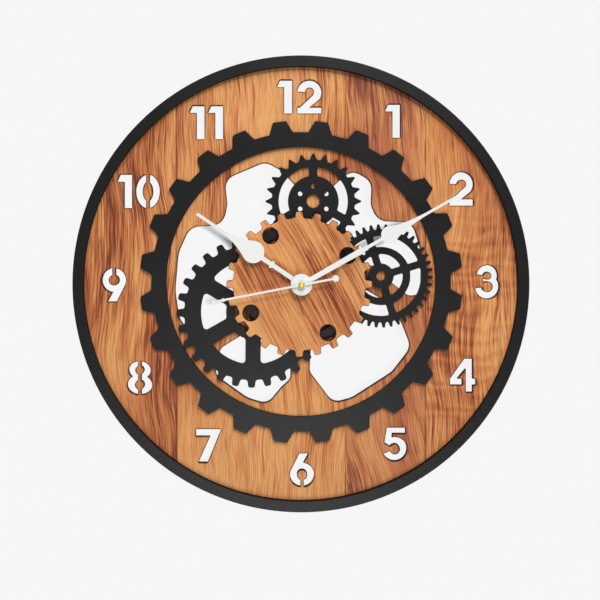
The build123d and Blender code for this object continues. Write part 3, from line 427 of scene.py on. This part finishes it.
def finish_wood(shader, colour, edge, fine, roughness, relief):
    """Satin wood on the faces, dull on the burnt edges."""
    shader.set(
        Base_Color=colour,
        Roughness=shader.math("MAXIMUM", shader.line(fine, *roughness), edge),
        Specular_IOR_Level=wood_specular,
    )
    shader.bump(relief, wood_relief)
    return shader.material


def plank_wood():
    """Dial board: five planks with their own colour and figure, dark seams and a shaded margin by the rim."""
    shader = Shader("plank_wood")
    place = shader.millimetres()
    across, _, along = shader.split(place)
    stops = [((left + dial_edge) / (2 * dial_edge), tuple(looks)) for left, *looks in planks]
    plank = shader.ramp(shader.line(across, 1 / (2 * dial_edge), 0.5), stops, interpolation="CONSTANT")
    tone, seed, flame = shader.split(plank)
    start, end = planks[leaning_plank][0], planks[leaning_plank + 1][0]
    leaning = shader.times(
        shader.step(across, start - plank_join, start + plank_join),
        shader.step(across, end + plank_join, end - plank_join),
    )
    slanted = shader.plus(across, shader.times(shader.times(leaning, leaning_slope), along))
    redness, pores, relief, fine = wood_grain(
        shader, slanted, along, seed, tone, plank_wave, plank_run, shader.line(tone, *plank_vein)
    )

    sway = shader.noise(place, flame_sway_scale)
    waves = shader.plus(shader.times(along, flame_rate), shader.times(sway, flame_sway))
    figure = shader.math("SINE", shader.times(waves, 2 * pi))
    bottom, low, high, top = flame_span
    span = shader.times(shader.step(along, bottom, low), shader.step(along, top, high))
    figure = shader.times(shader.times(figure, flame), span)
    redness = shader.plus(redness, shader.times(figure, flame_depth))
    colour = shader.ramp(redness, wood_colours)
    colour = shader.tint(pores, colour, plank_pores)
    colour = shader.tint(leaning, colour, leaning_pink)

    seam = None
    for left, *_ in planks[1:]:
        line = shader.step(shader.math("ABSOLUTE", shader.plus(across, -left)), *seam_width)
        seam = line if seam is None else shader.math("MAXIMUM", seam, line)
    faded = shader.step(shader.noise(place, seam_fade_scale), 0.40, 0.58, 0.25, 0.75)
    colour = shader.mix(shader.times(seam, faded), colour, seam_colour)
    reach = shader.math("SQRT", shader.plus(shader.times(across, across), shader.times(along, along)))
    colour = shader.tint(shader.step(reach, rim_inside - margin_width, rim_inside), colour, margin_shade)
    colour = shader.tint(shader.step(reach, *covered_radius), colour, covered_shade)

    colour, edge = edge_and_back(shader, colour, place, board_scorch)
    relief = shader.plus(relief, shader.times(seam, seam_depth))
    return finish_wood(shader, colour, edge, fine, plank_roughness, relief)


def gear_wood():
    """Centre gear: diagonal grain with pale and red-brown bands, and a darker patch that is partly darker
    wood and partly a painted shadow of the hands.
    """
    shader = Shader("gear_wood")
    place = shader.millimetres()
    x, _, z = shader.split(place)
    along_x, along_z = gear_grain
    along = shader.plus(shader.times(x, along_x), shader.times(z, along_z))
    across = shader.plus(shader.times(x, -along_z), shader.times(z, along_x))
    wander = shader.noise(place, gear_wander_scale)
    banded = shader.plus(across, shader.about(wander, gear_wander))
    stops = [((left + gear_edge) / (2 * gear_edge), (tone, tone, tone)) for left, tone in gear_bands]
    tone = shader.ramp(shader.line(banded, 1 / (2 * gear_edge), 0.5), stops)

    # Darker patch left of the axis: partly darker wood, partly a painted shadow of the hands.
    strayed = shader.plus(z, shader.about(wander, dark_wood_and_shadow_wander))
    off_x = shader.times(shader.plus(x, -dark_wood_and_shadow_place[0]), 1 / dark_wood_and_shadow_size[0])
    off_z = shader.times(shader.plus(strayed, -dark_wood_and_shadow_place[1]), 1 / dark_wood_and_shadow_size[1])
    spread = shader.plus(shader.times(off_x, off_x), shader.times(off_z, off_z))
    tone = shader.plus(tone, shader.times(shader.step(spread, 1.1, 0.3), dark_wood_and_shadow_tone))

    tone = shader.plus(tone, gear_tone)
    redness, pores, relief, fine = wood_grain(
        shader, across, along, gear_seed, tone, gear_wave, gear_run, gear_vein
    )
    colour = shader.tint(pores, shader.ramp(redness, wood_colours), gear_pores)
    colour, edge = edge_and_back(shader, colour, place, gear_scorch)
    return finish_wood(shader, colour, edge, fine, gear_roughness, relief)


def coated(name, dark, light, roughness, grain, depth, ease, specular=0.5, metallic=0.0, walls_painted_shade_and_dull=0.0):
    """Paint, plastic, rubber or metal: slow change of tone, fine surface grain, eased edges, paler edges that
    are partly wear and partly a painted highlight, and painted shade on the cut walls where asked.
    """
    shader = Shader(name)
    place = shader.millimetres()
    cloud = shader.noise(place, cloud_scale, detail=4.0, roughness=0.6)
    grit = shader.noise(place, (grain, grain, grain))
    colour = shader.ramp(shader.plus(cloud, shader.about(grit, grit_tone)), [(0.3, dark), (0.7, light)])
    # Paler edges: partly wear, partly a painted highlight where the edges catch the light.
    wear_and_edge_highlight = shader.times(shader.near_edge(2 * ease), shader.step(cloud, 0.42, 0.66, *wear_and_edge_highlight_range))
    colour = shader.mix(wear_and_edge_highlight, colour, tuple(min(0.9, 1.5 * part + 0.01) for part in light))
    rough = shader.line(grit, grit_roughness, roughness - grit_roughness / 2)
    if walls_painted_shade_and_dull:
        # Cut walls of the black paint: painted shade, mixed towards black, and a rougher surface.
        wall = shader.times(shader.cut_wall(shader.facing()), walls_painted_shade_and_dull)
        colour = shader.mix(wall, colour, black)
        rough = shader.math("MAXIMUM", rough, wall)
    shader.set(Base_Color=colour, Roughness=rough, Specular_IOR_Level=specular, Metallic=metallic)
    shader.bump(grit, depth, shader.soft_edges(ease))
    return shader.material


def battery_jacket():
    """Cell: printed jacket with a pale band, bare metal ends."""
    shader = Shader("battery_jacket")
    place = shader.millimetres()
    low, high = (1000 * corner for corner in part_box("battery"))
    length = high.x - low.x
    along = shader.line(shader.split(place)[0], 1 / length, -low.x / length)
    scuffs = shader.noise(place, scuff_scale, detail=3.0, roughness=0.6)
    jacket = shader.ramp(along, battery_bands, interpolation="CONSTANT")
    shader.set(
        Base_Color=shader.mix(shader.step(scuffs, 0.52, 0.75, 0.0, scuff_strength), jacket, scuff_colour),
        Metallic=shader.ramp(along, battery_metal, interpolation="CONSTANT"),
        Roughness=shader.line(scuffs, *scuff_roughness),
    )
    shader.bump(scuffs, scuff_depth)
    return shader.material


materials = {"plank_wood": plank_wood(), "gear_wood": gear_wood(), "battery_jacket": battery_jacket()}
for name, coat in coats.items():
    materials[name] = coated(name, **coat)
for finish, nodes in finishes.items():
    for name in nodes:
        for material_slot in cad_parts[name].material_slots:
            material_slot.material = materials[finish]


def looks_from(obj, place, target):
    obj.location = place
    obj.rotation_euler = (Vector(target) - Vector(place)).to_track_quat("-Z", "Y").to_euler()


def lamp(name, kind, place, target, energy):
    data = bpy.data.lights.new(name, kind)
    data.energy = energy
    obj = bpy.data.objects.new(name, data)
    bpy.context.scene.collection.objects.link(obj)
    looks_from(obj, place, target)
    return obj


def seen_by(tree):
    """1 for what the camera sees, also in a reflection or through something clear."""
    path = tree.nodes.new("ShaderNodeLightPath")
    seen = path.outputs["Is Camera Ray"]
    for name in ("Is Glossy Ray", "Is Transmission Ray"):
        either = tree.nodes.new("ShaderNodeMath")
        either.operation = "MAXIMUM"
        tree.links.new(seen, either.inputs[0])
        tree.links.new(path.outputs[name], either.inputs[1])
        seen = either.outputs[0]
    return seen


def blend_shaders(tree, factor, first, second):
    node = tree.nodes.new("ShaderNodeMixShader")
    tree.links.new(factor, node.inputs[0])
    tree.links.new(first, node.inputs[1])
    tree.links.new(second, node.inputs[2])
    return node.outputs[0]


def backdrop_material(name, glow_strength):
    """Pale wall or floor: white to the camera from its front, clear otherwise, and it takes shadows."""
    material = bpy.data.materials.new(name)
    material.use_nodes = True
    tree = material.node_tree
    tree.nodes.clear()
    glow = tree.nodes.new("ShaderNodeEmission")
    glow.inputs["Color"].default_value = (1, 1, 1, 1)
    glow.inputs["Strength"].default_value = glow_strength
    paint = tree.nodes.new("ShaderNodeBsdfDiffuse")
    paint.inputs["Color"].default_value = (wall_reflects, wall_reflects, wall_reflects, 1)
    both = tree.nodes.new("ShaderNodeAddShader")
    tree.links.new(glow.outputs[0], both.inputs[0])
    tree.links.new(paint.outputs[0], both.inputs[1])
    clear = tree.nodes.new("ShaderNodeBsdfTransparent")
    geometry = tree.nodes.new("ShaderNodeNewGeometry")
    path = tree.nodes.new("ShaderNodeLightPath")
    front = blend_shaders(tree, path.outputs["Is Camera Ray"], clear.outputs[0], both.outputs[0])
    shown = blend_shaders(tree, geometry.outputs["Backfacing"], front, clear.outputs[0])
    tree.links.new(shown, tree.nodes.new("ShaderNodeOutputMaterial").inputs[0])
    return material


def plane(name, corners, material):
    mesh = bpy.data.meshes.new(name)
    mesh.from_pydata(corners, [], [tuple(range(len(corners)))])
    mesh.materials.append(material)
    obj = bpy.data.objects.new(name, mesh)
    bpy.context.scene.collection.objects.link(obj)
    return obj


def group(name, objects):
    collection = bpy.data.collections.new(name)
    for obj in objects:
        collection.objects.link(obj)
    return collection


scene = bpy.context.scene
scene.view_settings.view_transform = "Standard"

own_light = wall_white - wall_reflects * surround_strength
wall = plane(
    "wall",
    [
        (-wall_reach, wall_depth, floor_level), (wall_reach, wall_depth, floor_level),
        (wall_reach, wall_depth, wall_top), (-wall_reach, wall_depth, wall_top),
    ],
    backdrop_material("wall", own_light - wall_hands_light - wall_clock_light),
)
floor = plane(
    "floor",
    [
        (-wall_reach, -wall_reach, floor_level), (wall_reach, -wall_reach, floor_level),
        (wall_reach, wall_depth, floor_level), (-wall_reach, wall_depth, floor_level),
    ],
    backdrop_material("floor", own_light),
)

not_wall = group("not_wall", [wall, floor])
for member in not_wall.collection_objects:
    member.light_linking.link_state = "EXCLUDE"
for name, (place, target, power, width) in lamps.items():
    area = lamp(name, "AREA", place, target, power)
    area.data.size = width
    area.light_linking.receiver_collection = not_wall

only_wall = group("only_wall", [wall])
full_sun = pi / (wall_reflects * -Vector(wall_light_place).normalized().y)
shades = {
    "wall_hands": (wall_hands_light, [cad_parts[name] for name in hands]),
    "wall_clock": (wall_clock_light, list(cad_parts.values())),
}
for name, (strength, blockers) in shades.items():
    sun = lamp(name, "SUN", wall_light_place, (0, 0, 0), strength * full_sun)
    sun.data.angle = soft_shadow_angle
    sun.light_linking.receiver_collection = only_wall
    sun.light_linking.blocker_collection = group(name + "_blockers", blockers)

world = bpy.data.worlds.new("surround")
world.use_nodes = True
scene.world = world
tree = world.node_tree
tree.nodes.clear()
surround = tree.nodes.new("ShaderNodeBackground")
surround.inputs["Color"].default_value = (1, 1, 1, 1)
surround.inputs["Strength"].default_value = surround_strength
pale = tree.nodes.new("ShaderNodeBackground")
pale.inputs["Color"].default_value = (wall_white, wall_white, wall_white, 1)
shown = blend_shaders(tree, seen_by(tree), surround.outputs[0], pale.outputs[0])
tree.links.new(shown, tree.nodes.new("ShaderNodeOutputWorld").inputs[0])

camera = bpy.data.objects.new("camera", bpy.data.cameras.new("camera"))
camera.data.lens = camera_lens
camera.data.sensor_width = camera_sensor
camera.data.shift_x, camera.data.shift_y = camera_shift
scene.collection.objects.link(camera)
looks_from(camera, camera_place, (camera_place[0], 0.0, camera_place[2]))
scene.camera = camera
